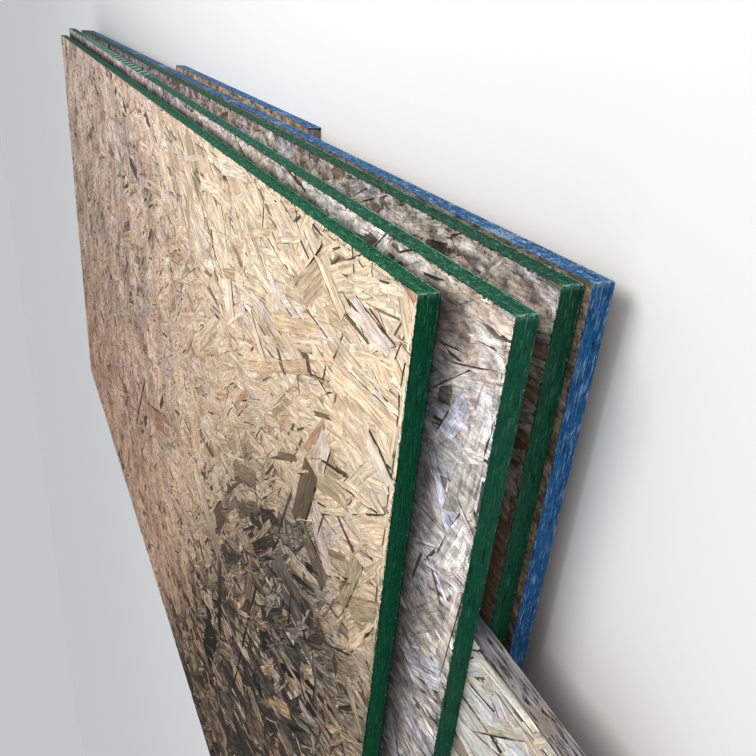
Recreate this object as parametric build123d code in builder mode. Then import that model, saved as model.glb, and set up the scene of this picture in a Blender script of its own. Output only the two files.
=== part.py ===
from build123d import *
import os
from math import cos, radians, sin
from typing import NamedTuple

# Board sizes, in millimetres
sheet_length = 2440.0
sheet_width = 1220.0
board_thickness = 18.3
ripped_sheet_width = 965.0
offcut_length = 711.0

# Worn corners and eased arrises
corner_radius = 1.5
arris_ease = 0.6

# Flakes broken out of the arrises, each one strand deep
strand_depth = 1.0
flake_pitch = 310.0
flake_run = 26.0
flake_bite = 3.2
strand_end_slant = 60.0
golden_step = 0.618

# Where each board's near top corner lies, measured from the top sheet's, and its turn in degrees
second_green_near_end = -85.0
second_green_long_edge = -16.0
second_green_turn = -0.25
ripped_near_end = -240.0
ripped_long_edge = 259.0
ripped_turn = -2.0
lower_green_near_end = -78.0
lower_green_long_edge = -30.0
lower_green_turn = 0.15
blue_near_end = -85.0
blue_long_edge = -33.0
blue_turn = 0.2
offcut_near_end = 453.0
offcut_long_edge = -38.0


class Board(NamedTuple):
    """One board: its size and where its near top corner lies in the stack."""

    name: str
    length: float
    width: float
    near_end: float
    long_edge: float
    turn: float


# The stack from the floor up
stack = (
    Board("blue_offcut", offcut_length, sheet_width, offcut_near_end, offcut_long_edge, 0.0),
    Board("blue_sheet", sheet_length, sheet_width, blue_near_end, blue_long_edge, blue_turn),
    Board("lower_green_sheet", sheet_length, sheet_width, lower_green_near_end,
          lower_green_long_edge, lower_green_turn),
    Board("ripped_sheet", sheet_length, ripped_sheet_width, ripped_near_end,
          ripped_long_edge, ripped_turn),
    Board("second_green_sheet", sheet_length, sheet_width, second_green_near_end,
          second_green_long_edge, second_green_turn),
    Board("top_green_sheet", sheet_length, sheet_width, 0.0, 0.0, 0.0),
)


class LostStrand(NamedTuple):
    """A strand gone from a board's upper face: its middle from the near top corner, its size and turn."""

    board: str
    along: float
    across: float
    length: float
    width: float
    turn: float


# Wide strands that have flaked off, and narrow splits where strands have sprung apart
lost_strands = (
    LostStrand("top_green_sheet", 484.0, 19.0, 26.0, 10.0, 56.0),
    LostStrand("top_green_sheet", 983.0, 38.0, 48.0, 13.0, -22.0),
    LostStrand("top_green_sheet", 1222.0, 50.0, 38.0, 14.0, -20.0),
    LostStrand("top_green_sheet", 1331.0, 35.0, 28.0, 14.0, 30.0),
    LostStrand("top_green_sheet", 668.0, 590.0, 62.0, 16.0, -36.0),
    LostStrand("top_green_sheet", 963.0, 590.0, 56.0, 12.0, 52.0),
    LostStrand("top_green_sheet", 705.0, 895.0, 46.0, 14.0, -30.0),
    LostStrand("top_green_sheet", 778.0, 1040.0, 34.0, 16.0, 40.0),
    LostStrand("top_green_sheet", 967.0, 1040.0, 52.0, 18.0, 84.0),
    LostStrand("top_green_sheet", 338.0, 40.0, 38.0, 4.0, 84.0),
    LostStrand("top_green_sheet", 127.0, 99.0, 48.0, 3.0, 63.0),
    LostStrand("top_green_sheet", 289.0, 326.0, 56.0, 4.0, 50.0),
    LostStrand("top_green_sheet", 236.0, 352.0, 96.0, 5.0, 66.0),
    LostStrand("top_green_sheet", 205.0, 455.0, 84.0, 3.0, 86.0),
    LostStrand("top_green_sheet", 386.0, 700.0, 330.0, 6.0, 71.0),
    LostStrand("second_green_sheet", 1.5, 134.0, 28.0, 4.0, 90.0),
    LostStrand("second_green_sheet", 36.0, 240.0, 30.0, 3.0, -46.0),
    LostStrand("second_green_sheet", 66.0, 244.0, 38.0, 3.0, 76.0),
)


def corner_centres(board):
    """Centres of the four rounded corners, before the stack is centred."""
    along = (cos(radians(board.turn)), sin(radians(board.turn)))
    across = (-along[1], along[0])
    return [
        (board.near_end + u * along[0] + v * across[0], board.long_edge + u * along[1] + v * across[1])
        for u in (corner_radius, board.length - corner_radius)
        for v in (corner_radius, board.width - corner_radius)
    ]


# The origin is under the middle of the whole stack's outline
reach = [centre for board in stack for centre in corner_centres(board)]
middle_x = (min(x for x, y in reach) + max(x for x, y in reach)) / 2
middle_y = (min(y for x, y in reach) + max(y for x, y in reach)) / 2


def board_plane(board, height):
    """Plane at the board's near top corner: X along its length, Y across its width."""
    turn = radians(board.turn)
    corner = (board.near_end - middle_x, board.long_edge - middle_y, height)
    return Plane(origin=corner, x_dir=(cos(turn), sin(turn), 0), z_dir=(0, 0, 1))


def flake_starts(edge_length):
    """Uneven places for the flakes along one arris, clear of its corners."""
    count = int(edge_length // flake_pitch)
    clear_length = edge_length - 2 * corner_radius - 2 * flake_run
    return [corner_radius + flake_run / 2 + clear_length * (n * golden_step % 1) for n in range(count)]


os.makedirs("parts", exist_ok=True)
for layer, board in enumerate(stack):
    underside = layer * board_thickness
    upper_face = board_plane(board, underside + board_thickness)
    with BuildPart() as sheet:
        with BuildSketch(board_plane(board, underside)):
            Rectangle(board.length, board.width, align=(Align.MIN, Align.MIN))
            fillet(vertices(), corner_radius)
        extrude(amount=board_thickness)
        chamfer(edges().group_by(Axis.Z)[-1] + edges().group_by(Axis.Z)[0], arris_ease)
        # Flakes gone from the upper arris of the near end
        with BuildSketch(upper_face):
            for start in flake_starts(board.width):
                with BuildLine():
                    Polyline((0, start), (flake_bite, start + flake_run * 0.3),
                             (flake_bite * 0.6, start + flake_run * 0.8), (0, start + flake_run), close=True)
                make_face()
        # Flakes gone from the upper arris of the painted long edge
        with BuildSketch(upper_face):
            for start in flake_starts(board.length):
                with BuildLine():
                    Polyline((start, 0), (start + flake_run * 0.2, flake_bite * 0.7),
                             (start + flake_run * 0.7, flake_bite), (start + flake_run, 0), close=True)
                make_face()
        # Strands gone from the face, each a slanted pocket
        gone = [lost for lost in lost_strands if lost.board == board.name]
        if gone:
            with BuildSketch(upper_face):
                for lost in gone:
                    with Locations((lost.along, lost.across)):
                        Trapezoid(lost.length, lost.width, strand_end_slant, 180 - strand_end_slant,
                                  rotation=lost.turn)
        extrude(amount=-strand_depth, mode=Mode.SUBTRACT)
    sheet.part.label = board.name
    export_step(sheet.part, f"parts/{board.name}.step")
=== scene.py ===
from math import cos, hypot, pi, radians, sin, tau
from typing import NamedTuple

import bmesh
import bpy
import numpy as np
from mathutils import Matrix, Vector


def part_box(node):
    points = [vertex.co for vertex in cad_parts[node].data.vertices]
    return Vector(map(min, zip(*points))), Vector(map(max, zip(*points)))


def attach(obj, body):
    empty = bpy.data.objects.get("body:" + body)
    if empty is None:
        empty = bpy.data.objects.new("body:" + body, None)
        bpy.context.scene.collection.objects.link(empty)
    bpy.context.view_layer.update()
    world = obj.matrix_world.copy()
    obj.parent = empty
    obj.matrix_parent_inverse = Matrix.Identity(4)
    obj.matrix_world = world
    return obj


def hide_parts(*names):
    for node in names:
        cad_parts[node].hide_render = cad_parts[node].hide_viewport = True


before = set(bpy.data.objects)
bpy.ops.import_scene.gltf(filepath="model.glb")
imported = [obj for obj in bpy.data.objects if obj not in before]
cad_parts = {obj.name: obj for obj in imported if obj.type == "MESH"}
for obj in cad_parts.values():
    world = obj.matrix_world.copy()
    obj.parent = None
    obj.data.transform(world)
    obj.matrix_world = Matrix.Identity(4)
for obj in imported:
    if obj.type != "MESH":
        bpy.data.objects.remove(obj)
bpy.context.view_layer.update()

mm = 0.001

# View
# The eye is close to the stack's near corner and looks along it and down on the top face. The
# sheets lie flat here, so the picture's upright runs across them.
eye = Vector((-1514.72, -765.56, 359.66)) * mm
ahead = Vector((0.78756, 0.44338, -0.42798))
upright = Vector((0.43598, -0.89172, -0.12152))
picture_side = 756.0
focal_length = 744.74
sensor_side = 36.0

view_lens = bpy.data.cameras.new("near_corner_view")
view_lens.sensor_width = sensor_side
view_lens.lens = sensor_side * focal_length / picture_side
view_lens.clip_start = 20 * mm
viewer = bpy.data.objects.new("near_corner_view", view_lens)
view_axes = Matrix((upright.cross(-ahead), upright, -ahead)).transposed()
viewer.matrix_world = Matrix.Translation(eye) @ view_axes.to_4x4()
bpy.context.scene.collection.objects.link(viewer)
bpy.context.scene.camera = viewer
bpy.context.scene.view_settings.view_transform = "Standard"

# Studio
# A wide pale floor under an even pale sky, with one broad soft lamp from the long-edge side.
floor_side = 60.0
floor_colour = (0.72, 0.72, 0.71, 1.0)
floor_seen = (0.98, 0.98, 0.98, 1.0)
sky_colour = (0.95, 0.98, 1.0, 1.0)
sky_level = 0.58
lamp_place = Vector((-0.8, -1.7, 1.75))
lamp_target = Vector((-0.5, -0.2, 0.05))
lamp_size = 1.2
lamp_power = 26.0
lamp_colour = (1.0, 0.97, 0.92)

bm = bmesh.new()
bmesh.ops.create_grid(bm, x_segments=1, y_segments=1, size=floor_side / 2)
floor_mesh = bpy.data.meshes.new("studio_floor")
bm.to_mesh(floor_mesh)
bm.free()
floor_paint = bpy.data.materials.new("floor_paint")
floor_paint.use_nodes = True
floor_nodes = floor_paint.node_tree.nodes
floor_rays = floor_nodes.new("ShaderNodeLightPath")
floor_choice = floor_nodes.new("ShaderNodeMix")
floor_choice.data_type = "RGBA"
floor_choice.inputs[6].default_value = floor_colour
floor_choice.inputs[7].default_value = floor_seen
floor_paint.node_tree.links.new(floor_rays.outputs["Is Camera Ray"], floor_choice.inputs[0])
floor_paint.node_tree.links.new(floor_choice.outputs[2], floor_nodes["Principled BSDF"].inputs["Base Color"])
floor_paint.node_tree.nodes["Principled BSDF"].inputs["Roughness"].default_value = 0.9
floor_mesh.materials.append(floor_paint)
studio_floor = bpy.data.objects.new("studio_floor", floor_mesh)
bpy.context.scene.collection.objects.link(studio_floor)

sky = bpy.data.worlds.new("pale_sky")
sky.use_nodes = True
sky.node_tree.nodes["Background"].inputs["Color"].default_value = sky_colour
sky.node_tree.nodes["Background"].inputs["Strength"].default_value = sky_level
bpy.context.scene.world = sky

soft_lamp = bpy.data.lights.new("soft_lamp", "AREA")
soft_lamp.shape = "DISK"
soft_lamp.size = lamp_size
soft_lamp.energy = lamp_power
soft_lamp.color = lamp_colour
soft_lamp_holder = bpy.data.objects.new("soft_lamp", soft_lamp)
soft_lamp_holder.location = lamp_place
soft_lamp_holder.rotation_mode = "QUATERNION"
soft_lamp_holder.rotation_quaternion = (lamp_target - lamp_place).to_track_quat("-Z", "Y")
bpy.context.scene.collection.objects.link(soft_lamp_holder)


# Blue offcut
# A short end of an OSB sheet: wood strands pressed with resin, sawn off at both ends, with the
# mill's blue sealing paint left on its long edges.
board_thickness = 18.3 * mm
corner_radius = 1.5 * mm
edge_cell = 6 * mm
edge_rows = 16
rim_width = 14 * mm
rim_drop = 0.9 * mm
field_drop = 1.5 * mm
least_set_back = 0.12 * mm
strand_set_back = 0.7 * mm
void_depth = 1.6 * mm


class Sheet(NamedTuple):
    """A board of the stack: its node, its size and its turn on the pile in degrees."""

    node: str
    length: float
    width: float
    turn: float

    def to_stack(self):
        """Matrix from the board's near top corner, at its underside, to the stack's frame."""
        low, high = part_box(self.node)
        middle = (low + high) / 2
        turned = Matrix.Rotation(radians(self.turn), 4, "Z")
        corner = Vector((middle.x, middle.y, low.z))
        return Matrix.Translation(corner) @ turned @ Matrix.Translation(
            Vector((-self.length / 2, -self.width / 2, 0)))


def into_scene(name, mesh, sheet, finish):
    """Links a finished mesh as a piece of the stack, with the finish on its material slot."""
    mesh.transform(sheet.to_stack())
    mesh.materials.append(finish)
    piece = bpy.data.objects.new(name, mesh)
    bpy.context.scene.collection.objects.link(piece)
    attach(piece, "root")
    return piece


def read_mesh(mesh):
    """Arrays of a mesh: corner places loop by loop, face normals loop by loop and each face's start."""
    places = np.empty(len(mesh.vertices) * 3)
    mesh.vertices.foreach_get("co", places)
    corner = np.empty(len(mesh.loops), dtype=np.int32)
    mesh.loops.foreach_get("vertex_index", corner)
    start, total = np.empty((2, len(mesh.polygons)), dtype=np.int32)
    mesh.polygons.foreach_get("loop_start", start)
    mesh.polygons.foreach_get("loop_total", total)
    normal = np.empty(len(mesh.polygons) * 3)
    mesh.polygons.foreach_get("normal", normal)
    return places.reshape(-1, 3)[corner], np.repeat(normal.reshape(-1, 3), total, axis=0), start, total


def unfold_board(mesh, sheet):
    """A flat map of the board: a strip for each side, then its top and its underside."""
    place, normal, start, total = read_mesh(mesh)
    along, across = place[:, 0] / sheet.length, place[:, 1] / sheet.width
    rise = place[:, 2] / board_thickness
    facing_up = np.abs(normal[:, 2]) > 0.5
    on_end = np.abs(normal[:, 0]) > np.abs(normal[:, 1])
    strip = np.where(on_end, 2 + (normal[:, 0] > 0), normal[:, 1] > 0)
    side_map = np.stack([np.where(on_end, across, along), 0.125 * strip + 0.115 * rise], -1)
    face_map = np.stack([along, 0.5 + 0.25 * (normal[:, 2] < 0) + 0.24 * across], -1)
    flat = np.where(facing_up[:, None], face_map, side_map)
    mesh.uv_layers.new(name="OFBake").uv.foreach_set("vector", np.clip(flat, 0, 1).ravel())


def pressed_board(sheet, seed, voids):
    """The board under its face strands: a rounded outline drawn down in rows of strand ends."""
    bm = bmesh.new()
    bmesh.ops.create_grid(bm, x_segments=1, y_segments=1, size=0.5)
    bmesh.ops.scale(bm, vec=(sheet.length, sheet.width, 1), verts=bm.verts)
    bmesh.ops.translate(bm, vec=(sheet.length / 2, sheet.width / 2, board_thickness - rim_drop),
                        verts=bm.verts)
    bmesh.ops.bevel(bm, geom=bm.verts[:], offset=corner_radius, offset_type="OFFSET", segments=4,
                    profile=0.5, affect="VERTICES", material=-1)
    for edge in [e for e in bm.edges if e.calc_length() > 3 * edge_cell]:
        bmesh.ops.subdivide_edges(bm, edges=[edge], cuts=int(edge.calc_length() / edge_cell))
    ring = bm.edges[:]
    row_height = (board_thickness - rim_drop) / edge_rows
    for row in range(edge_rows):
        drawn = bmesh.ops.extrude_edge_only(bm, edges=ring)["geom"]
        low = {v for v in drawn if isinstance(v, bmesh.types.BMVert)}
        bmesh.ops.translate(bm, vec=(0, 0, -row_height), verts=list(low))
        ring = [e for e in drawn if isinstance(e, bmesh.types.BMEdge) and low.issuperset(e.verts)]
    bmesh.ops.contextual_create(bm, geom=ring)
    bmesh.ops.recalc_face_normals(bm, faces=bm.faces)
    top = [f for f in bm.faces if f.normal.z > 0.9]
    bmesh.ops.inset_region(bm, faces=top, thickness=rim_width, depth=rim_drop - field_drop,
                           use_even_offset=True)
    # Strand ends stand back unevenly, and some have fallen out
    rng = np.random.default_rng(seed)
    cells = int(2 * (sheet.length + sheet.width) / edge_cell) + 8
    depth = rng.random((edge_rows + 1, cells))
    spread = np.ones(5) / 5
    streaks = np.array([np.convolve(row, spread, "same") for row in depth])
    holes = rng.random((edge_rows + 1, cells)) < voids
    holes |= np.roll(holes, 1, axis=1) & (rng.random(holes.shape) < 0.6)
    set_back = (least_set_back + strand_set_back * np.clip(streaks - 0.35, 0, 1)
                + void_depth * holes * rng.random(holes.shape))
    set_back[0] *= 0.3
    set_back[-1] *= 0.3
    for v in bm.verts:
        u, w = v.co.x, v.co.y
        reach = corner_radius
        outward = Vector((max(u - (sheet.length - reach), 0) - max(reach - u, 0),
                          max(w - (sheet.width - reach), 0) - max(reach - w, 0), 0))
        if outward.length < reach * 0.98:
            continue
        row = int(round((board_thickness - rim_drop - v.co.z) / row_height))
        if w < sheet.width / 2:
            run = u if w < reach else (w if u > sheet.length / 2 else -w)
        else:
            run = u if w > sheet.width - reach else (w if u > sheet.length / 2 else -w)
        side = 0 if w < reach else 1 if u > sheet.length - reach else 2 if w > sheet.width - reach else 3
        place = (int(abs(run) / edge_cell) + side * cells // 4) % cells
        v.co -= outward.normalized() * set_back[min(max(row, 0), edge_rows), place]
    mesh = bpy.data.meshes.new(sheet.node + "_board")
    bm.to_mesh(mesh)
    bm.free()
    unfold_board(mesh, sheet)
    return mesh


class Wire:
    """One output of a shader node. Arithmetic on it adds Math nodes."""

    def __init__(self, finish, socket):
        self.finish, self.socket = finish, socket

    def math(self, operation, *others):
        return self.finish.node("ShaderNodeMath", {"operation": operation}, (self, *others))

    def __add__(self, other): return self.math("ADD", other)
    def __sub__(self, other): return self.math("SUBTRACT", other)
    def __mul__(self, other): return self.math("MULTIPLY", other)
    def __truediv__(self, other): return self.math("DIVIDE", other)
    def __gt__(self, other): return self.math("GREATER_THAN", other)
    def __lt__(self, other): return self.math("LESS_THAN", other)
    __radd__, __rmul__ = __add__, __mul__

    def __rsub__(self, other):
        return self.finish.node("ShaderNodeMath", {"operation": "SUBTRACT"}, (other, self))

    def ramp(self, low, high):
        """0 below low, 1 above high and smooth between them."""
        return self.finish.node("ShaderNodeMapRange", {"interpolation_type": "SMOOTHSTEP"},
                                {"Value": self, "From Min": low, "From Max": high})

    def least(self, other): return self.math("MINIMUM", other)
    def most(self, other): return self.math("MAXIMUM", other)


class Finish:
    """A material that is wired up node by node."""

    def __init__(self, name):
        self.material = bpy.data.materials.new(name)
        self.material.use_nodes = True
        self.tree = self.material.node_tree
        self.shader = self.tree.nodes["Principled BSDF"]

    def node(self, kind, settings=None, values=(), output=0):
        """Adds a node: its settings first, then the values or links of its sockets."""
        made = self.tree.nodes.new(kind)
        for name, value in (settings or {}).items():
            if name == "stops":
                band = made.color_ramp
                while len(band.elements) < len(value):
                    band.elements.new(1.0)
                for element, (position, colour) in zip(band.elements, value):
                    element.position, element.color = position, colour
            else:
                setattr(made, name, value)
        pairs = values.items() if isinstance(values, dict) else enumerate(values)
        for key, value in pairs:
            if isinstance(value, Wire):
                self.tree.links.new(value.socket, made.inputs[key])
            else:
                made.inputs[key].default_value = value
        return Wire(self, made.outputs[output])

    def mix(self, share, first, second, blend="MIX"):
        """Colours first and second, mixed by share."""
        settings = {"data_type": "RGBA", "blend_type": blend}
        return self.node("ShaderNodeMix", settings, {0: share, 6: first, 7: second}, 2)

    def noise(self, vector, scale, detail=2.0, roughness=0.5):
        return self.node("ShaderNodeTexNoise", None,
                         {"Vector": vector, "Scale": scale, "Detail": detail, "Roughness": roughness})

    def grey(self, level):
        """A colour with the same level in all three channels."""
        return self.node("ShaderNodeCombineColor", None, (level, level, level))

    def stretched(self, vector, scale, turn=0.0):
        """The vector turned about Z and scaled axis by axis."""
        turned = self.node("ShaderNodeMapping", {"vector_type": "POINT"},
                           {"Vector": vector, "Rotation": (0, 0, turn)})
        return self.node("ShaderNodeMapping", {"vector_type": "POINT"}, {"Vector": turned, "Scale": scale})


def shade(red, green, blue):
    """A colour from its 0 to 255 values, as a shader's linear one."""
    def linear(value):
        value /= 255
        return value / 12.92 if value < 0.04045 else ((value + 0.055) / 1.055) ** 2.4
    return (linear(red), linear(green), linear(blue), 1.0)


wood_tones = (
    (0.000, shade(104, 90, 74)),
    (0.020, shade(146, 128, 104)),
    (0.060, shade(198, 178, 148)),
    (0.100, shade(216, 176, 138)),
    (0.106, shade(158, 94, 68)),
    (0.112, shade(218, 176, 138)),
    (0.150, shade(230, 196, 160)),
    (0.300, shade(234, 208, 184)),
    (0.480, shade(238, 216, 184)),
    (0.740, shade(246, 228, 198)),
    (0.920, shade(244, 230, 216)),
    (1.000, shade(226, 220, 226)),
)
patch_tones = (
    (0.32, shade(206, 178, 146)),
    (0.42, shade(236, 214, 180)),
    (0.50, shade(244, 226, 200)),
    (0.58, shade(240, 206, 170)),
    (0.68, shade(224, 206, 210)),
)
blue_paint = (shade(24, 94, 152), shade(150, 184, 212), shade(12, 48, 92), shade(160, 190, 214))
# One green sealing paint in three brightnesses: lighter for the top sheet and darker for the sheets under
# it, painted light and shade
lit_green_paint = (shade(5, 96, 64), shade(96, 166, 140), shade(3, 58, 38), shade(142, 192, 178))
green_paint = (shade(4, 86, 60), shade(96, 166, 144), shade(3, 50, 35), shade(142, 192, 178))
shaded_green_paint = (shade(4, 74, 50), shade(92, 152, 130), shade(3, 40, 28), shade(142, 192, 178))
grey_wood = (shade(112, 106, 108), shade(190, 184, 184), shade(160, 142, 126))
old_paint_blue = shade(104, 132, 172)
moss_green = shade(128, 150, 134)
# Dark brown for the wood's dark flecks and for painted shade in gaps, pits, voids and down strand sides
shade_and_fleck_brown = shade(46, 36, 28)
bark_red = shade(176, 104, 66)
check_brown = shade(92, 68, 48)
far_tint = (0.78, 0.745, 0.83, 1.0)
mid_tint = (0.84, 0.80, 0.77, 1.0)
low_tint = (0.95, 0.83, 0.75, 1.0)
# Tints for the dark low corner, damp stain and painted shadow, and for the band beside a covering sheet,
# painted shadow and grime
damp_and_shadow_tint = (0.042, 0.050, 0.064, 1.0)
shadow_and_grime_tint = (0.035, 0.038, 0.045, 1.0)
hatch_pitch = 42 * mm


def board_finish(name, sheet, paint, painted_ends=True, strands=False, weather_and_shade=(1, 1, 1),
                 arris_light_tint=None, hatched=None, covered=None, blotched=0.0, wear_share=0.7,
                 old_paint=None, damp_and_shadow_strength=1.0, streaked=0.35):
    """OSB with painted edges: pressed strands on the faces, strand ends in rows on the edges."""
    f = Finish(name)
    corner = sheet.to_stack() @ Vector((0, 0, 0))
    place = f.node("ShaderNodeTexCoord", output=3)
    local = f.node("ShaderNodeMapping", {"vector_type": "TEXTURE"},
                   {"Vector": place, "Location": corner, "Rotation": (0, 0, radians(sheet.turn))})
    parts = f.node("ShaderNodeSeparateXYZ", None, (local,))
    u, v, h = (Wire(f, parts.socket.node.outputs[k]) for k in range(3))
    side_gap = v.least(sheet.width - v)
    end_gap = u.least(sheet.length - u)
    in_corner = (corner_radius - side_gap).most(0.0) * (corner_radius - side_gap).most(0.0)
    in_corner = in_corner + (corner_radius - end_gap).most(0.0) * (corner_radius - end_gap).most(0.0)
    rim_gap = corner_radius - in_corner.math("SQRT") + (side_gap.least(end_gap) - corner_radius).most(0.0)
    edge_gap = rim_gap if painted_ends else side_gap
    rough_patch = f.noise(local, 11.0, 3.0, 0.5).ramp(0.32, 0.54).most(1 - rim_gap.ramp(6 * mm, 60 * mm))
    if strands:
        token = f.node("ShaderNodeAttribute", {"attribute_name": "strand"})
        split = f.node("ShaderNodeSeparateColor", None, (token,))
        tone, lightness, depth = (Wire(f, split.socket.node.outputs[k]) for k in range(3))
        opened = Wire(f, token.socket.node.outputs["Alpha"])
        grain = f.node("ShaderNodeUVMap", {"uv_map": "grain"})
        span = f.node("ShaderNodeUVMap", {"uv_map": "span"})
        across = f.node("ShaderNodeSeparateXYZ", None, (span,))
        s, t = (Wire(f, across.socket.node.outputs[k]) for k in range(2))
        # Painted shade: dark lines along a strand's opened side, round its outline and down its sides, where
        # shade falls in the gaps between strands
        taper = f.noise(f.stretched(grain, (38, 40, 1)), 1.0, 2.0, 0.5)
        waver = f.noise(f.stretched(grain, (70, 70, 1)), 1.0, 3.0, 0.6)
        crack = (taper * opened.math("ABSOLUTE")).ramp(0.38, 0.64) * (0.30 + 0.70 * rough_patch)
        off_side = t * opened.math("SIGN") + 0.26 * (waver - 0.5)
        gap_line = (off_side + 0.20 * crack).ramp(0.98, 1.05) * crack.ramp(0.04, 0.20)
        seam = (t.math("ABSOLUTE") + 0.08 * waver).ramp(0.96, 1.0)
        seam = seam.most((s.math("ABSOLUTE") + 0.02 * waver).ramp(0.988, 1.0))
        dark = gap_line.most(depth.ramp(0.05, 0.45)).most(seam * (0.06 + 0.5 * taper.ramp(0.50, 0.66)))
    else:
        dark, tone, lightness = None, None, None
        # Strand cells on the board's own face, with dark lines along their edges as painted shade of the
        # gaps between strands
        for turn, stretch in ((-0.35, (11, 60, 1)), (0.12, (9, 48, 1)), (0.5, (13, 70, 1))):
            cell = f.stretched(local, stretch, turn)
            cells = {"Vector": cell, "Scale": 1.0, "Randomness": 0.9}
            spots = f.node("ShaderNodeTexVoronoi", {"feature": "F1"}, cells, 1)
            split = f.node("ShaderNodeSeparateColor", None, (spots,))
            r, g, b = (Wire(f, split.socket.node.outputs[k]) for k in range(3))
            gap = f.node("ShaderNodeTexVoronoi", {"feature": "DISTANCE_TO_EDGE"}, cells)
            line = 0.55 * (1 - gap.ramp(0.0, 0.035))
            if tone is None:
                tone, lightness, dark = r, g, line
            else:
                over = b > 0.55
                tone = tone + (r - tone) * over
                lightness = lightness + (g - lightness) * over
                dark = dark + (line - dark) * over
        grain = local
        lightness = lightness * 0.5
    colour = f.node("ShaderNodeValToRGB", {"stops": wood_tones}, (tone,))
    patches = f.noise(f.stretched(local, (9, 17, 1), 0.2), 1.0, 4.0, 0.6)
    patches = f.node("ShaderNodeValToRGB", {"stops": patch_tones}, (patches,))
    colour = f.mix(0.50 * tone.ramp(0.0, 0.16), colour, patches)
    # Grain runs along each strand, with fine checks and dark flecks in it
    bend = f.noise(f.stretched(grain, (40, 90, 1)), 1.0, 2.0, 0.5) * 0.004
    sway = f.node("ShaderNodeCombineXYZ", None, (0.0, bend, 0.0))
    grain = f.node("ShaderNodeVectorMath", {"operation": "ADD"}, (grain, sway))
    fine = f.noise(f.stretched(grain, (46, 480, 1)), 1.0, 4.0, 0.60).ramp(0.33, 0.67)
    fibre = f.noise(f.stretched(grain, (15, 210, 1)), 1.0, 4.0, 0.62).ramp(0.34, 0.66)
    broad = f.noise(f.stretched(grain, (12, 90, 1)), 1.0, 3.0, 0.55)
    mottle = f.noise(local, 42.0, 5.0, 0.66)
    flecks = f.noise(f.stretched(grain, (260, 900, 1)), 1.0, 2.0, 0.6).ramp(0.61, 0.67)
    flecks = flecks * (0.35 + 0.65 * rough_patch)
    checks = f.noise(f.stretched(grain, (30, 380, 1)), 1.0, 4.0, 0.66).ramp(0.61, 0.67)
    checks = checks * (0.35 + 0.65 * rough_patch)
    stain = f.noise(local, 6.0, 5.0, 0.62)
    level = (0.88 + 0.22 * lightness) * (0.80 + 0.46 * fine) * (0.74 + 0.56 * fibre) * (0.80 + 0.40 * broad)
    # Painted light and shade on each strand: one side lighter and the other darker as if it were tilted to
    # the light, and its sides darker, as shade and dirt along its edges
    if strands:
        level = level * (1 + 0.16 * t * (2 * lightness - 1))
        level = level * (1 - 0.24 * (t.math("ABSOLUTE").ramp(0.70, 1.0) * taper.ramp(0.40, 0.60)))
    level = level * (0.80 + 0.40 * mottle) * (0.82 + 0.36 * stain)
    wood = f.mix(1.0, colour, f.grey(level), "MULTIPLY")
    bark = f.node("ShaderNodeTexVoronoi", {"feature": "F1"},
                  {"Vector": f.stretched(grain, (11, 18, 1)), "Scale": 1.0})
    wood = f.mix((1 - bark.ramp(0.03, 0.08)) * 0.60, wood, bark_red)
    # Rain and sun have left the face paler along its long edge and browner down it, and it is also darker
    # down it and towards the far end as painted shade of light falling off. The corner that stood lowest is
    # grey and dark, partly with damp stain and partly painted shadow
    tint = f.mix(u.ramp(0.45, 1.2), (1, 1, 1, 1), far_tint)
    tint = f.mix(v.ramp(0.08, 0.34), tint, mid_tint, "MULTIPLY")
    tint = f.mix(v.ramp(0.40, 1.10), tint, low_tint, "MULTIPLY")
    uneven = 0.30 * (stain - 0.5) + 0.24 * (lightness - 0.5) + 0.16 * (fibre - 0.5)
    wedge = v - 1.35 * u + uneven
    damp_and_shadow = wedge.ramp(-0.38, 0.10) * (v + 0.5 * uneven).ramp(0.20, 0.46) * (0.72 + 0.28 * u.ramp(0.02, 0.16))
    soaked = (tone * 7.0).math("FRACT")
    damp_and_shadow = (damp_and_shadow * (0.84 + 0.4 * mottle)).least(1.0) * (1 - 0.62 * soaked * soaked * soaked)
    tint = f.mix(damp_and_shadow * damp_and_shadow_strength, tint, damp_and_shadow_tint, "MULTIPLY")
    swollen = 1 + damp_and_shadow * (1.2 * (fine - 0.5) + 1.0 * (fibre - 0.5))
    tint = f.mix(1.0, tint, f.grey(swollen), "MULTIPLY")
    # Broad patches of the far half have faded unevenly
    weathered = f.noise(f.stretched(local, (10, 8, 1), 0.15), 1.0, 3.0, 0.55).ramp(0.38, 0.62)
    faded = 1 + u.ramp(0.45, 1.2) * (0.46 * (weathered - 0.5) + 0.05)
    tint = f.mix(1.0, tint, f.grey(faded), "MULTIPLY")
    # Each sheet's own tint: on the lower sheets it darkens and blues the strips that show beside the sheets
    # above, painted shade as well as weathering
    tint = f.mix(1.0, tint, (*weather_and_shade, 1), "MULTIPLY")
    if blotched:
        blotch = f.noise(f.stretched(local, (48, 90, 1)), 1.0, 5.0, 0.70).ramp(0.36, 0.64)
        swing = 1 - blotched + 1.6 * blotched * blotch
        tint = f.mix(1.0, tint, f.grey(swing), "MULTIPLY")
    # Painted shadow and grime: a dark band on the face along the edges of the sheet that lies on it
    if covered:
        ragged = 30 * mm * (f.noise(local, 34.0, 3.0, 0.6) - 0.5) + 14 * mm * (fibre - 0.5)
        cover_shadow = (u - covered[0] + ragged).ramp(-60 * mm, -6 * mm)
        cover_shadow = cover_shadow.least((v - covered[1] + 0.4 * ragged).ramp(-12 * mm, 4 * mm))
        tint = f.mix(cover_shadow * 0.94, tint, shadow_and_grime_tint, "MULTIPLY")
    # Painted light: the face is tinted lighter and warmer close to its long edge, where the strip lies open
    # to the light
    if arris_light_tint:
        tint = f.mix(1 - v.ramp(0.02, 0.07), tint, (*arris_light_tint, 1), "MULTIPLY")
    wood = f.mix(1.0, wood, tint, "MULTIPLY")
    wood = f.mix(checks * 0.80, wood, check_brown)
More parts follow.
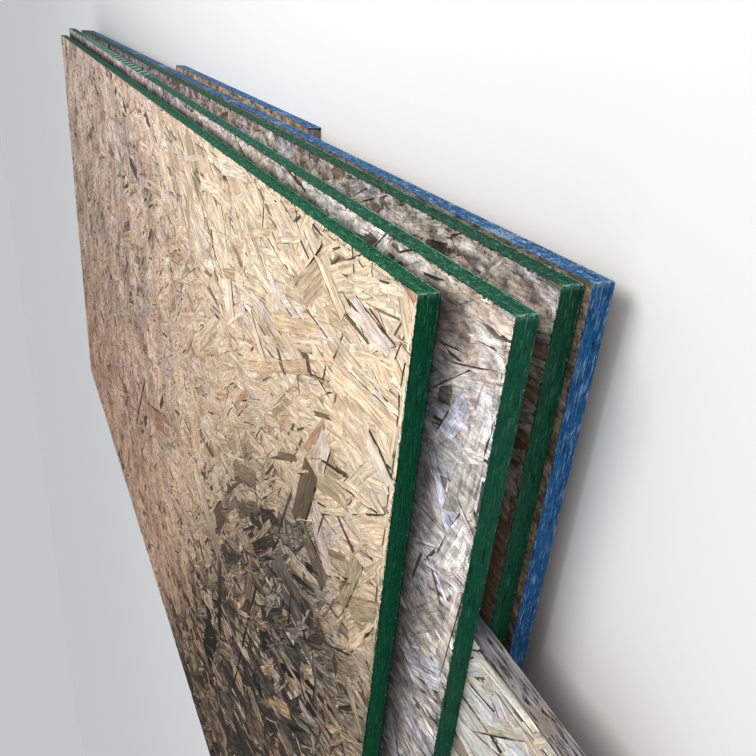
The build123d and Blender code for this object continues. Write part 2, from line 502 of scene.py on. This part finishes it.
    # Pits along the rims, where strands have crumbled, painted dark as the shade in them
    end_pits = f.noise(f.stretched(local, (420, 75, 1)), 1.0, 4.0, 0.64).ramp(0.54, 0.61)
    end_pits = end_pits * (1 - end_gap.ramp(2 * mm, 11 * mm))
    side_pits = f.noise(f.stretched(local, (75, 420, 1)), 1.0, 4.0, 0.64).ramp(0.55, 0.62)
    side_pits = side_pits * (1 - side_gap.ramp(2 * mm, 9 * mm))
    dark = dark.most(end_pits * 0.9).most(side_pits * 0.8)
    # The far half has weathered hardest: strands have lifted there, and the gaps under them are painted as
    # long dark lines of shade
    lifted_gap_shade = f.noise(f.stretched(local, (64, 14, 1), 0.12), 1.0, 4.0, 0.66).ramp(0.58, 0.64)
    dark = dark.most(lifted_gap_shade * u.ramp(0.45, 1.2) * 0.75)
    wood = f.mix((flecks * 0.62).most(dark * 0.95), wood, shade_and_fleck_brown)
    # Sawn edges without paint show strand ends in rows, gone grey, with the gaps between them painted dark
    # as shade
    streaks = f.noise(f.stretched(local, (26, 26, 760)), 1.0, 4.0, 0.66)
    gaps = f.noise(f.stretched(local, (44, 44, 480)), 1.0, 4.0, 0.70).ramp(0.515, 0.585)
    bare = f.mix(streaks.ramp(0.32, 0.66), grey_wood[0], grey_wood[1])
    bare = f.mix(f.noise(local, 20.0, 3.0, 0.6).ramp(0.52, 0.66) * 0.6, bare, grey_wood[2])
    if old_paint:
        left = f.noise(local, 70.0, 3.0, 0.6).ramp(0.34, 0.54) * u.ramp(old_paint[0], old_paint[1])
        bare = f.mix(left * 0.80, bare, old_paint_blue)
        moss = f.noise(f.stretched(local, (30, 30, 160)), 1.0, 3.0, 0.6).ramp(0.60, 0.70) * 0.4
        bare = f.mix(moss, bare, moss_green)
    bare = f.mix(gaps * 0.92, bare, shade_and_fleck_brown)
    in_side = 2.6 * mm * (h > 0.3 * mm) * (h < board_thickness - rim_drop - 0.3 * mm)
    wood = f.mix(1 - (rim_gap / (0.45 * mm + in_side)).ramp(0.7, 1.1), wood, bare)
    relief = fine * 0.5 + broad * 0.5 - checks * 0.6
    gloss = 0.80 + 0.10 * fine
    if paint:
        lobes = f.noise(local, 190.0, 5.0, 0.70)
        wrap = 0.35 * mm + 2.6 * mm * lobes.ramp(0.44, 0.74)
        arris = 1 - (h - 0.4 * mm).least(board_thickness - 0.4 * mm - h).ramp(0.1 * mm, 1.1 * mm)
        flaked = f.noise(local, 300.0, 2.0, 0.5).ramp(0.62, 0.66) * arris
        wrap = wrap + in_side
        cover = (1 - (edge_gap / wrap).ramp(0.8, 1.1)) * (1 - flaked)
        rows = f.noise(f.stretched(local, (40, 40, 800)), 1.0, 3.0, 0.6)
        specks = f.noise(f.stretched(local, (330, 330, 760)), 1.0, 3.0, 0.66)
        wear = f.noise(local, 14.0, 3.0, 0.6)
        on_side = side_gap < end_gap
        chips = f.noise(f.stretched(local, (95, 95, 240)), 1.0, 3.0, 0.62)
        # Pale specks and chips, mostly on the long edges: partly worn paint and partly painted glints where
        # light catches those edges
        pale = specks.ramp(0.57, 0.63) * (0.14 + (0.40 + wear_share * wear.ramp(0.42, 0.68)) * on_side)
        pale = pale.most(chips.ramp(0.57, 0.64) * (0.25 + 0.75 * wear_share) * on_side)
        ends = f.noise(f.stretched(local, (60, 60, 620)), 1.0, 5.0, 0.70)
        pale = pale.most(rows.ramp(0.58, 0.70) * 0.5 * streaked).most(ends.ramp(0.54, 0.62) * 0.8 * streaked)
        chalk = wear.ramp(0.56, 0.66) * on_side * (wear_share - 0.7) * specks.ramp(0.40, 0.55)
        chalk = chalk.most((1 - h.ramp(0.3 * mm, 1.3 * mm)) * on_side * specks.ramp(0.35, 0.6))
        rubbed = (1 - (u + v).ramp(1.0 * mm, 5 * mm)) * specks.ramp(0.40, 0.54)
        chalk = chalk.most(rubbed * (0.35 + 0.5 * on_side))
        drips = f.noise(f.stretched(local, (1, 46, 900)), 1.0, 2.0, 0.5).ramp(0.63, 0.68)
        chalk = chalk.most(drips * (1 - v.ramp(4 * mm, 34 * mm)) * (1 - on_side) * 0.8)
        if hatched:
            slash = (u + 1.6 * h) * (tau / hatch_pitch)
            band = u.ramp(hatched[0], hatched[0] + 0.1) * (1 - u.ramp(hatched[1], hatched[1] + 0.1))
            band = band * on_side
            chalk = chalk.most((slash.math("SINE") + 0.8 * (wear - 0.5)).ramp(0.1, 0.5) * band * 0.95)
        deep = (1 - specks.ramp(0.36, 0.46)).most(1 - chips.ramp(0.37, 0.45)) * (0.42 + 0.48 * on_side)
        deep = deep.most((1 - ends.ramp(0.38, 0.46)) * (0.25 + 0.75 * streaked))
        coat = f.mix(deep, f.mix(pale.least(1.0), paint[0], paint[1]), paint[2])
        coat = f.mix(chalk.least(1.0), coat, paint[3])
        # Painted shade: where the paint wraps more than a millimetre onto the face it turns dark, as the
        # slits beside the paint line
        coat = f.mix(edge_gap.ramp(0.5 * mm, 1.5 * mm) * 0.8, coat, shade_and_fleck_brown)
        skin = f.mix(cover, wood, coat)
        gloss = gloss + (0.62 - gloss) * cover
        relief = relief + (rows * 1.2 + specks * 1.2 - relief) * cover
    else:
        skin = wood
    bump = f.node("ShaderNodeBump", None, {"Strength": 0.8, "Distance": 0.35 * mm, "Height": relief})
    f.tree.links.new(skin.socket, f.shader.inputs["Base Color"])
    f.tree.links.new(gloss.socket, f.shader.inputs["Roughness"])
    f.tree.links.new(bump.socket, f.shader.inputs["Normal"])
    f.shader.inputs["Specular IOR Level"].default_value = 0.14
    return f.material


blue_offcut = Sheet("blue_offcut", 711 * mm, 1220 * mm, 0.0)
offcut_piece = into_scene("blue_offcut_board", pressed_board(blue_offcut, 11, 0.04), blue_offcut,
                          board_finish("blue_offcut_osb", blue_offcut, blue_paint, painted_ends=False,
                                       weather_and_shade=(0.62, 0.56, 0.50), blotched=0.7, wear_share=1.3,
                                       streaked=1.0))
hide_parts("blue_offcut")

# Blue sheet
# A full sheet with blue sealing paint on all four edges, a little skew on the offcut.
blue_sheet = Sheet("blue_sheet", 2440 * mm, 1220 * mm, 0.2)
blue_piece = into_scene("blue_sheet_board", pressed_board(blue_sheet, 12, 0.02), blue_sheet,
                        board_finish("blue_sheet_osb", blue_sheet, blue_paint, weather_and_shade=(0.34, 0.32, 0.31),
                                     blotched=0.6, wear_share=1.5, streaked=1.0))
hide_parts("blue_sheet")


# Lower green sheet
# A full sheet with green sealing paint. Its face shows in the slot beside the narrower sheet
# that lies on it, so its face strands are laid there one by one.
strand_stations = 3
strand_lanes = 4


def strand_blank():
    """One flat strand as a closed unit shape, its underside first: corners and faces."""
    bm = bmesh.new()
    bmesh.ops.create_grid(bm, x_segments=strand_stations, y_segments=strand_lanes, size=1.0)
    rim = [e for e in bm.edges if e.is_boundary]
    drawn = bmesh.ops.extrude_edge_only(bm, edges=rim)["geom"]
    low = [v for v in drawn if isinstance(v, bmesh.types.BMVert)]
    bmesh.ops.translate(bm, vec=(0, 0, -1), verts=low)
    under = [e for e in drawn if isinstance(e, bmesh.types.BMEdge) and max(v.co.z for v in e.verts) < -0.5]
    bmesh.ops.contextual_create(bm, geom=under)
    bmesh.ops.recalc_face_normals(bm, faces=bm.faces)
    bm.verts.index_update()
    corners = np.array([v.co[:] for v in bm.verts])
    faces = sorted(([v.index for v in f.verts] for f in bm.faces),
                   key=lambda face: sum(corners[k][2] for k in face) / len(face))
    bm.free()
    return corners, faces


def unfold_face(mesh):
    """A flat map of the strands, seen from above, with their thin sides folded in under them."""
    place, normal, start, total = read_mesh(mesh)
    top = np.repeat(np.maximum.reduceat(place[:, 2], start), total)
    flat = place[:, :2] - normal[:, :2] * (top - place[:, 2])[:, None]
    low, high = flat.min(axis=0), flat.max(axis=0)
    mesh.uv_layers.new(name="OFBake").uv.foreach_set("vector", ((flat - low) / (high - low)).ravel())


def smooth_step(value, low, high):
    part = np.clip((value - low) / (high - low), 0, 1)
    return part * part * (3 - 2 * part)


class Layer(NamedTuple):
    """How one layer of strands is strewn: sizes in metres, turns in radians."""

    each: float
    even: bool
    length: tuple
    width: tuple
    height: float
    swing: float
    stray: float
    dark: bool = False


under_layer = Layer(1040e-6, True, (60 * mm, 135 * mm), (16 * mm, 36 * mm), -0.98 * mm, 0.24, 0.03)
middle_layer = Layer(1500e-6, False, (50 * mm, 130 * mm), (12 * mm, 34 * mm), -0.84 * mm, 0.30, 0.06)
upper_layer = Layer(2400e-6, False, (40 * mm, 120 * mm), (8 * mm, 28 * mm), -0.74 * mm, 0.36, 0.10)
slivers = Layer(1900e-6, False, (40 * mm, 120 * mm), (4 * mm, 11 * mm), -0.70 * mm, 0.30, 0.06)
splinters = Layer(4200e-6, False, (20 * mm, 80 * mm), (2 * mm, 7 * mm), -0.66 * mm, 0.42, 0.12)
# Slits are near-black slivers laid over the strands: painted shade standing in for open gaps
slits = Layer(7500e-6, False, (18 * mm, 60 * mm), (2 * mm, 6 * mm), -0.62 * mm, 0.50, 0.15, True)
pressing = 0.05 * mm
most_lift = 0.55 * mm
saw_set = 0.04 * mm
rim_lie = 0.06 * mm
face_clearance = 0.04 * mm
corner_zone = 150 * mm
noted_depth = 0.60 * mm
strand_aspect = 4.2
opened_share = 0.22
curled_share = 0.12
torn_share = 0.30
rim_pressed = 2 * mm
rim_free = 26 * mm
cut_tolerance = 1e-7


def strew_strands(name, sheet, patch, layer, seed, lie=None):
    """A mesh of strands whose middles lie in the patch (u0, u1, v0, v1), cut at the sheet's outline."""
    rng = np.random.default_rng(seed)
    u0, u1, v0, v1 = patch
    area = (u1 - u0) * (v1 - v0)
    if layer.even:
        across = (layer.each / strand_aspect) ** 0.5
        rows = max(1, int(round((v1 - v0) / across)))
        columns = max(1, int(round(area / layer.each / rows)))
        a, b = np.meshgrid(np.arange(columns), np.arange(rows))
        a, b = a.ravel() + 0.5 * (b.ravel() % 2), b.ravel()
        cu = u0 + (u1 - u0) * (a + rng.random(a.size)) / (columns + 0.5)
        cv = v0 + (v1 - v0) * (b + rng.random(a.size)) / rows
    else:
        count = int(area / layer.each)
        cu, cv = rng.uniform(u0, u1, count), rng.uniform(v0, v1, count)
    order = rng.permutation(cu.size)
    cu, cv = cu[order, None], cv[order, None]
    one = cu.shape
    half_length = rng.uniform(*layer.length, one) * rng.uniform(0.75, 1.0, one) / 2
    half_width = (layer.width[0] + (layer.width[1] - layer.width[0]) * rng.random(one) ** 1.5) / 2
    turn = rng.normal(0.12, layer.swing, one)
    if lie:
        turn = turn + lie(cu, cv)
    turn = np.where(rng.random(one) < layer.stray, rng.uniform(-pi / 2, pi / 2, one), turn)
    height = layer.height + np.sort(rng.normal(0, 1, one), axis=0) * pressing
    opened = np.where(rng.random(one) < opened_share, rng.choice((-1, 1), one) * rng.uniform(0.3, 1, one), 0)
    curled = np.where(rng.random(one) < curled_share, rng.choice((-1, 1), one) * rng.uniform(0.3, 1, one), 0)
    torn = np.where(rng.random(one) < torn_share, rng.choice((-1, 1), one) * rng.uniform(0.6, 1.3, one), 0)
    torn = np.where(opened != 0, np.sign(opened), torn)
    tone, light = rng.random((2, *one))
    # A dark layer is painted shade: its slivers take the darkest tone
    if layer.dark:
        tone, light = tone * 0.012, light * 0.3
    return lay_strands(name, sheet, rng, (cu, cv, turn), (half_length, half_width, height),
                       (opened, curled), (tone, light, torn))


def lay_strands(name, sheet, rng, lies, sizes, lifts, looks):
    """One mesh of strands from columns of places, sizes, lifted sides and looks."""
    corners, faces = strand_blank()
    cu, cv, turn = lies
    half_length, half_width, height = sizes
    opened, curled = lifts
    tone, light, torn = looks
    n = cu.size
    one = (n, 1)
    s, t, z = corners.T[:, None, :]
    low = z < -0.5
    end = np.abs(s) > 0.99
    lane = np.round((t[0] + 1) * strand_lanes / 2).astype(int)
    station = np.round((s[0] + 1) * strand_stations / 2).astype(int)
    ragged = rng.random((n, 2, strand_lanes + 1)) ** 2 * rng.uniform(0.5, 9, (n, 1, 1)) * mm
    ragged = np.minimum(ragged, half_length[:, :, None] * 0.35)
    slant = rng.normal(0, 0.55, (n, 2)) * half_width
    wobble = rng.normal(0, 0.02, (n, strand_stations + 1, 2)) * half_width[:, :, None]
    far = (station > 1).astype(int)
    x = s * half_length - end * s * ragged[:, far, lane] + end * t * slant[:, far]
    y = t * half_width * (1 + s * rng.uniform(-0.16, 0.16, one))
    y = y + wobble[:, station, (t[0] > 0).astype(int)] * (np.abs(t) > 0.9)
    y = y + rng.normal(0, 0.02, one) * half_length * (s * s - 0.33)
    z_top = height + (s * rng.normal(0, 1, one) + t * rng.normal(0, 0.7, one)) * pressing
    z_top = z_top + (1 - s * s) * rng.normal(0, 0.7, one) * pressing
    z_top = z_top + most_lift * np.clip(t * opened, 0, 1) * np.clip(1.1 - s * s, 0, 1)
    z_top = z_top + most_lift * np.clip(s * curled, 0, 1) ** 1.5
    thickness = rng.uniform(0.5, 0.9, one) * mm
    u = cu + x * np.cos(turn) - y * np.sin(turn)
    v = cv + x * np.sin(turn) + y * np.cos(turn)
    gap = np.minimum(np.minimum(u, sheet.length - u), np.minimum(v, sheet.width - v))
    tight = 0.35 + 0.65 * smooth_step(gap, rim_pressed, rim_free)
    level = np.minimum(-rim_lie + (z_top + rim_lie) * tight, -face_clearance)
    level = board_thickness + level - low * thickness
    places = np.stack([u, v, level], -1).reshape(-1, 3)
    counts = np.array([len(face) for face in faces])
    blank_loops = np.concatenate([np.array(face) for face in faces])
    loops = (blank_loops[None, :] + len(corners) * np.arange(n)[:, None]).ravel()
    mesh = bpy.data.meshes.new(name)
    mesh.vertices.add(len(places))
    mesh.vertices.foreach_set("co", places.ravel())
    mesh.loops.add(len(loops))
    mesh.loops.foreach_set("vertex_index", loops)
    mesh.polygons.add(len(faces) * n)
    mesh.polygons.foreach_set("loop_start", np.concatenate([[0], np.cumsum(np.tile(counts, n))[:-1]]))
    mesh.update(calc_edges=True)
    offset = rng.uniform(0, 40, (n, 2))
    grain = np.stack([x + offset[:, :1], y + offset[:, 1:]], -1).reshape(-1, 2)
    span = np.stack([s + 0 * x, t + 0 * x], -1).reshape(-1, 2)
    for layer_name, values in (("grain", grain), ("span", span)):
        mesh.uv_layers.new(name=layer_name).uv.foreach_set("vector", values[loops].ravel())
    token = np.stack([tone + 0 * x, light + 0 * x, low + 0 * x, torn + 0 * x], -1).reshape(-1, 4)
    mesh.attributes.new("strand", "FLOAT_COLOR", "POINT").data.foreach_set("color", token.ravel())
    # The saw cut every strand off at the sheet's outline
    bm = bmesh.new()
    bm.from_mesh(mesh)
    cuts = [((saw_set, 0), (-1, 0)), ((sheet.length - saw_set, 0), (1, 0)),
            ((0, saw_set), (0, -1)), ((0, sheet.width - saw_set), (0, 1))]
    for (x0, y0), (nx, ny) in cuts:
        cut = bmesh.ops.bisect_plane(bm, geom=bm.verts[:] + bm.edges[:] + bm.faces[:], dist=cut_tolerance,
                                     plane_co=(x0, y0, 0), plane_no=(nx, ny, 0), clear_outer=True)
        sawn = [e for e in cut["geom_cut"] if isinstance(e, bmesh.types.BMEdge)]
        bmesh.ops.holes_fill(bm, edges=sawn, sides=0)
    for x0, y0, sx, sy in ((0, 0, -1, -1), (sheet.length, 0, 1, -1), (0, sheet.width, -1, 1),
                           (sheet.length, sheet.width, 1, 1)):
        for part in (1, 2, 3):
            near = [face for face in bm.faces
                    if hypot(face.verts[0].co.x - x0, face.verts[0].co.y - y0) < corner_zone]
            normal = Vector((sx * cos(part * pi / 8), sy * sin(part * pi / 8), 0))
            centre = Vector((x0 - sx * corner_radius, y0 - sy * corner_radius, 0))
            geometry = {item for face in near for item in (face, *face.verts, *face.edges)}
            cut = bmesh.ops.bisect_plane(bm, geom=list(geometry), dist=cut_tolerance,
                                         plane_co=centre + normal * (corner_radius - saw_set),
                                         plane_no=normal, clear_outer=True)
            sawn = [e for e in cut["geom_cut"] if isinstance(e, bmesh.types.BMEdge)]
            bmesh.ops.holes_fill(bm, edges=sawn, sides=0)
    bm.to_mesh(mesh)
    bm.free()
    mesh.shade_flat()
    unfold_face(mesh)
    return mesh


def strew_layer(area, part, sheet, patch, layer, seed, finish, lie=None):
    """Adds one layer of strands on an area of a sheet's face as a piece of its own."""
    mesh = strew_strands(area + "_" + part, sheet, patch, layer, seed, lie)
    into_scene(area + "_strands_" + part, mesh, sheet, finish)


lower_green = Sheet("lower_green_sheet", 2440 * mm, 1220 * mm, 0.15)
lower_green_piece = into_scene("lower_green_sheet_board", pressed_board(lower_green, 13, 0.02), lower_green,
                               board_finish("lower_green_osb", lower_green, shaded_green_paint,
                                            weather_and_shade=(0.30, 0.28, 0.27)))
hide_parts("lower_green_sheet")
# Painted shade and light on the slot beside the ripped sheet: its strip is darkened and blued, and lighter
# close to the long edge
slot_shade_tint = (0.36, 0.395, 0.46)
slot_arris_light = (1.8, 1.8, 1.9)
lower_strands = board_finish("lower_green_strands_osb", lower_green, shaded_green_paint, strands=True,
                              weather_and_shade=slot_shade_tint, arris_light_tint=slot_arris_light, blotched=0.7)
slot_depth = 170 * mm
for part, layer, seed in (("under", under_layer, 131), ("middle", middle_layer, 132),
                          ("upper", upper_layer, 133)):
    strew_layer("lower_green_slot", part, lower_green, (0, lower_green.length, 0, slot_depth), layer,
                seed, lower_strands)

# Ripped sheet
# A sheet ripped down to 965 mm and left bare: its edges are sawn wood, grey from the weather.
ripped = Sheet("ripped_sheet", 2440 * mm, 965 * mm, -2.0)
ripped_piece = into_scene("ripped_sheet_board", pressed_board(ripped, 14, 0.06), ripped,
                          board_finish("ripped_osb", ripped, None, weather_and_shade=(0.5, 0.5, 0.5),
                                       old_paint=(0.13, 0.19)))
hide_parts("ripped_sheet")
ripped_strands = board_finish("ripped_strands_osb", ripped, None, strands=True,
                              weather_and_shade=(0.82, 0.95, 1.16), old_paint=(0.13, 0.19), damp_and_shadow_strength=0.4)
ripped_near = 235 * mm
for part, layer, seed in (("under", under_layer, 141), ("middle", middle_layer, 142),
                          ("upper", upper_layer, 143), ("splinters", splinters, 144)):
    strew_layer("ripped_near", part, ripped, (0, ripped_near, 0, ripped.width), layer, seed,
                ripped_strands)


def lay_noted(name, sheet, finish, noted, seed):
    """Lays the strands that stand out. Each is its middle, length and width (mm), turn (degrees),
    tone, lightness, torn side and how far that side lifts."""
    u, v, length, width, turn, tone, light, torn, lift = np.array(noted).T[:, :, None]
    mesh = lay_strands(name, sheet, np.random.default_rng(seed), (u * mm, v * mm, np.radians(turn)),
                       (length * mm / 2, width * mm / 2, 0 * u - noted_depth), (torn * lift, 0 * u),
                       (tone, light, torn * 1.2))
    into_scene(name, mesh, sheet, finish)


lay_noted("ripped_strands_standing_out", ripped, ripped_strands, (
    (118, 7, 92, 11, 5, 0.560, 1.00, 1, 0.5),
    (70, 7, 18, 11, 58, 0.098, 0.90, 0, 0.0),
    (114, 26, 24, 14, -28, 0.970, 1.00, 1, 0.6),
    (135, 47, 38, 15, 10, 0.960, 1.00, -1, 0.5),
    (150, 24, 26, 14, 52, 0.900, 0.50, -1, 0.7),
    (128, 24, 22, 6, 48, 0.060, 0.40, 0, 0.0),
    (137, 80, 66, 38, 2, 0.880, 0.25, -1, 0.3),
    (60, 40, 70, 20, 12, 0.940, 0.80, 1, 0.4),
), 146)

# Second green sheet
# A full sheet that stands out 85 mm at the near end, so a band of its face shows there and a
# narrow one along the long edge.
second_green = Sheet("second_green_sheet", 2440 * mm, 1220 * mm, -0.25)
second_piece = into_scene("second_green_sheet_board", pressed_board(second_green, 15, 0.02), second_green,
                          board_finish("second_green_osb", second_green, green_paint, hatched=(1.15, 2.1),
                                       weather_and_shade=(0.45, 0.45, 0.48)))
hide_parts("second_green_sheet")
second_strands = board_finish("second_green_strands_osb", second_green, green_paint, strands=True,
                              weather_and_shade=(0.94, 1.10, 1.48), arris_light_tint=(1.05, 0.98, 0.90),
                              covered=(85 * mm, 16 * mm), blotched=0.50, damp_and_shadow_strength=0.5)
second_near = 120 * mm
second_edge = 60 * mm
for part, layer, seed in (("under", under_layer, 151), ("middle", middle_layer, 152),
                          ("upper", upper_layer, 153), ("slivers", slivers, 155),
                          ("splinters", splinters, 154)):
    strew_layer("second_near", part, second_green, (0, second_near, 0, second_green.width), layer,
                seed, second_strands)
    strew_layer("second_edge", part, second_green, (second_near, second_green.length, 0, second_edge),
                layer, seed + 5, second_strands)

# The thin dark strands of tone 0 are painted shade laid where cracks show
lay_noted("second_strands_standing_out", second_green, second_strands, (
    (30, 10, 66, 13, 1, 0.170, 0.95, 0, 0.0),
    (51, 19, 10, 5, 20, 0.106, 0.10, 0, 0.0),
    (48, 34, 9, 5, -10, 0.106, 0.10, 0, 0.0),
    (56, 61, 74, 13, 40, 0.120, 0.25, 1, 0.6),
    (36, 56, 62, 12, 20, 0.190, 0.60, -1, 0.5),
    (22, 140, 46, 33, 85, 0.058, 0.60, 0, 0.0),
    (51, 159, 70, 10, -52, 0.996, 1.00, 1, 0.8),
    (16, 88, 50, 24, 80, 0.620, 0.95, 1, 0.4),
    (46, 96, 44, 18, 62, 0.970, 0.90, -1, 0.6),
    (36, 240, 30, 2.5, -46, 0.000, 0.10, 0, 0.0),
    (66, 244, 38, 3, 76, 0.000, 0.10, 0, 0.0),
    (50, 222, 24, 3, 60, 0.000, 0.10, 0, 0.0),
    (12, 271, 102, 13, 84, 0.150, 0.15, 1, 0.4),
    (44, 282, 52, 22, 50, 0.056, 0.40, 0, 0.0),
    (22, 196, 56, 26, 70, 0.680, 0.95, -1, 0.5),
    (34, 330, 60, 24, 30, 0.960, 0.60, 1, 0.5),
    (66, 452, 38, 24, -50, 0.985, 0.90, -1, 0.7),
    (1.8, 134, 28, 2.6, 90, 0.000, 0.10, 0, 0.0),
    (9, 152, 12, 3, 60, 0.000, 0.10, 0, 0.0),
), 158)

# Top green sheet
# The sheet whose whole face shows: pale straw-coloured strands that swing round from one edge to
# the other, weathered, cracked and lifting a little, with green sealing paint on its edges.
top_green = Sheet("top_green_sheet", 2440 * mm, 1220 * mm, 0.0)
top_piece = into_scene("top_green_sheet_board", pressed_board(top_green, 16, 0.02), top_green,
                       board_finish("top_green_osb", top_green, lit_green_paint))
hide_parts("top_green_sheet")
top_strands = board_finish("top_green_strands_osb", top_green, lit_green_paint, strands=True)


def top_lie(u, v):
    """How far the strands of the top face swing from lying along it, in radians."""
    swirl = np.exp(-((u - 0.36) ** 2 + (v - 0.52) ** 2) / 0.05)
    return -0.30 + 0.56 * smooth_step(v, 60 * mm, 300 * mm) + 0.36 * swirl + 0.12 * np.sin(7 * u + 4 * v)


sliver_reach = 850 * mm
for part, layer, seed in (("under", under_layer, 161), ("middle", middle_layer, 162),
                          ("upper", upper_layer, 163), ("slivers", slivers, 166),
                          ("splinters", splinters, 164), ("slits", slits, 167)):
    reach = sliver_reach if part == "slivers" else top_green.length
    strew_layer("top_face", part, top_green, (0, reach, 0, top_green.width), layer, seed,
                top_strands, top_lie)

# Strands that stand out near the corner, down the darker side and far along the face. The thin dark
# ones of tone 0 are painted shade laid where cracks and gaps show
lay_noted("top_face_strands_standing_out", top_green, top_strands, (
    (182, 293, 104, 36, 72, 0.006, 0.10, 1, 0.3),
    (144, 218, 52, 28, 70, 0.970, 0.90, 1, 0.4),
    (162, 205, 84, 10, 52, 0.105, 0.30, 0, 0.0),
    (194, 60, 66, 34, 41, 0.066, 0.60, -1, 0.4),
    (167, 37, 112, 16, -28, 0.300, 0.95, 1, 0.9),
    (240, 168, 104, 15, 25, 0.088, 0.50, 0, 0.0),
    (233, 120, 132, 17, 17, 0.140, 0.45, 0, 0.0),
    (258, 222, 82, 14, 43, 0.052, 0.40, -1, 0.3),
    (255, 287, 106, 9, 29, 0.016, 0.25, 1, 0.5),
    (289, 326, 56, 4, 50, 0.000, 0.10, 0, 0.0),
    (333, 212, 92, 12, 24, 0.120, 0.35, -1, 0.3),
    (345, 186, 64, 15, -33, 0.900, 0.80, -1, 1.0),
    (470, 178, 52, 46, -66, 0.880, 0.85, -1, 0.9),
    (470, 146, 68, 14, 15, 0.062, 0.35, 0, 0.0),
    (130, 316, 72, 25, -36, 0.995, 0.75, 0, 0.0),
    (139, 305, 56, 3, 70, 0.000, 0.10, 0, 0.0),
    (61, 305, 70, 22, 70, 0.055, 0.30, 1, 0.5),
    (40, 322, 88, 22, 38, 0.062, 0.35, 0, 0.0),
    (118, 232, 72, 34, 16, 0.058, 0.25, -1, 0.3),
    (30, 166, 52, 40, -20, 0.940, 0.40, -1, 0.7),
    (124, 160, 50, 44, 3, 0.170, 0.90, 0, 0.0),
    (72, 117, 128, 20, 2, 0.170, 0.85, 0, 0.0),
    (58, 98, 102, 13, 4, 0.760, 0.95, 1, 0.4),
    (67, 52, 76, 20, -10, 0.990, 0.60, -1, 0.6),
    (56, 42, 56, 2.4, -15, 0.000, 0.10, 0, 0.0),
    (100, 48, 28, 2.4, -9, 0.000, 0.10, 0, 0.0),
    (144, 24, 28, 3, 39, 0.000, 0.10, 0, 0.0),
    (127, 99, 48, 3, 63, 0.000, 0.10, 0, 0.0),
    (176, 93, 57, 2, -7, 0.000, 0.10, 0, 0.0),
    (152, 137, 28, 3, 72, 0.000, 0.10, 0, 0.0),
    (216, 34, 30, 3, -24, 0.000, 0.10, 0, 0.0),
    (338, 40, 38, 4, 84, 0.000, 0.10, 0, 0.0),
    (484, 20, 30, 7, 52, 0.000, 0.20, 0, 0.0),
    (236, 352, 96, 5, 66, 0.000, 0.10, 1, 0.0),
    (262, 418, 44, 4, 58, 0.000, 0.15, 0, 0.0),
    (308, 452, 112, 14, 42, 0.012, 0.20, 1, 0.6),
    (205, 455, 84, 3, 86, 0.000, 0.10, 0, 0.0),
    (217, 446, 98, 52, -8, 0.930, 0.35, 0, 0.0),
    (393, 400, 108, 25, 22, 0.030, 0.30, 1, 0.4),
    (437, 443, 112, 14, 43, 0.010, 0.25, 1, 0.5),
    (44, 458, 44, 6, 50, 0.000, 0.15, 0, 0.0),
    (74, 418, 40, 14, 78, 0.014, 0.20, 0, 0.0),
    (517, 559, 74, 38, 55, 0.008, 0.20, -1, 0.5),
    (610, 604, 200, 44, -24, 0.820, 0.80, 1, 1.0),
    (668, 590, 62, 16, -36, 0.000, 0.10, 0, 0.0),
    (520, 728, 176, 20, 88, 0.006, 0.10, 0, 0.0),
    (386, 700, 330, 6, 71, 0.000, 0.10, 0, 0.0),
    (592, 900, 132, 64, 70, 0.010, 0.20, -1, 0.4),
    (705, 895, 46, 14, -30, 0.000, 0.10, 0, 0.0),
    (640, 724, 40, 12, -25, 0.000, 0.10, 0, 0.0),
    (778, 1040, 34, 16, 40, 0.000, 0.15, 0, 0.0),
    (967, 1040, 52, 18, 84, 0.004, 0.15, 0, 0.0),
    (1000, 655, 230, 46, 21, 0.104, 0.60, -1, 0.6),
    (963, 590, 56, 12, 52, 0.000, 0.10, 0, 0.0),
    (983, 38, 48, 13, -22, 0.000, 0.10, 0, 0.0),
    (1222, 50, 38, 14, -20, 0.000, 0.15, 0, 0.0),
    (1331, 35, 28, 14, 30, 0.000, 0.10, 0, 0.0),
    (484, 18, 22, 12, 60, 0.000, 0.10, 0, 0.0),
    (1240, 738, 260, 9, 51, 0.000, 0.15, 1, 0.4),
    (1010, 110, 120, 70, 6, 0.130, 0.20, 0, 0.0),
    (4, 26, 40, 4, 88, 0.780, 1.00, 0, 0.0),
    (4.5, 84, 46, 5, 91, 0.760, 1.00, 0, 0.0),
    (4, 150, 52, 4, 89, 0.700, 1.00, 0, 0.0),
    (4, 236, 60, 5, 90, 0.740, 0.95, 0, 0.0),
    (4, 330, 58, 4, 92, 0.700, 0.70, 0, 0.0),
    (8.5, 66, 22, 2.2, 84, 0.000, 0.10, 0, 0.0),
    (9, 96, 30, 2.6, 96, 0.000, 0.10, 0, 0.0),
    (8, 132, 16, 2.0, 80, 0.000, 0.10, 0, 0.0),
    (9.5, 172, 28, 2.4, 94, 0.000, 0.10, 0, 0.0),
    (8, 214, 20, 2.0, 86, 0.000, 0.10, 0, 0.0),
    (9, 282, 34, 2.6, 92, 0.000, 0.10, 0, 0.0),
    (18, 48, 26, 2.0, 66, 0.000, 0.10, 0, 0.0),
    (24, 36, 20, 2.2, 58, 0.000, 0.10, 0, 0.0),
    (52, 9, 22, 2.0, 12, 0.000, 0.10, 0, 0.0),
    (96, 8, 18, 2.0, -14, 0.000, 0.10, 0, 0.0),
    (142, 11, 20, 2.2, 24, 0.000, 0.10, 0, 0.0),
    (186, 8, 26, 2.0, -8, 0.000, 0.10, 0, 0.0),
    (238, 12, 20, 2.4, 30, 0.000, 0.10, 0, 0.0),
    (292, 9, 26, 2.2, 10, 0.000, 0.10, 0, 0.0),
), 165)
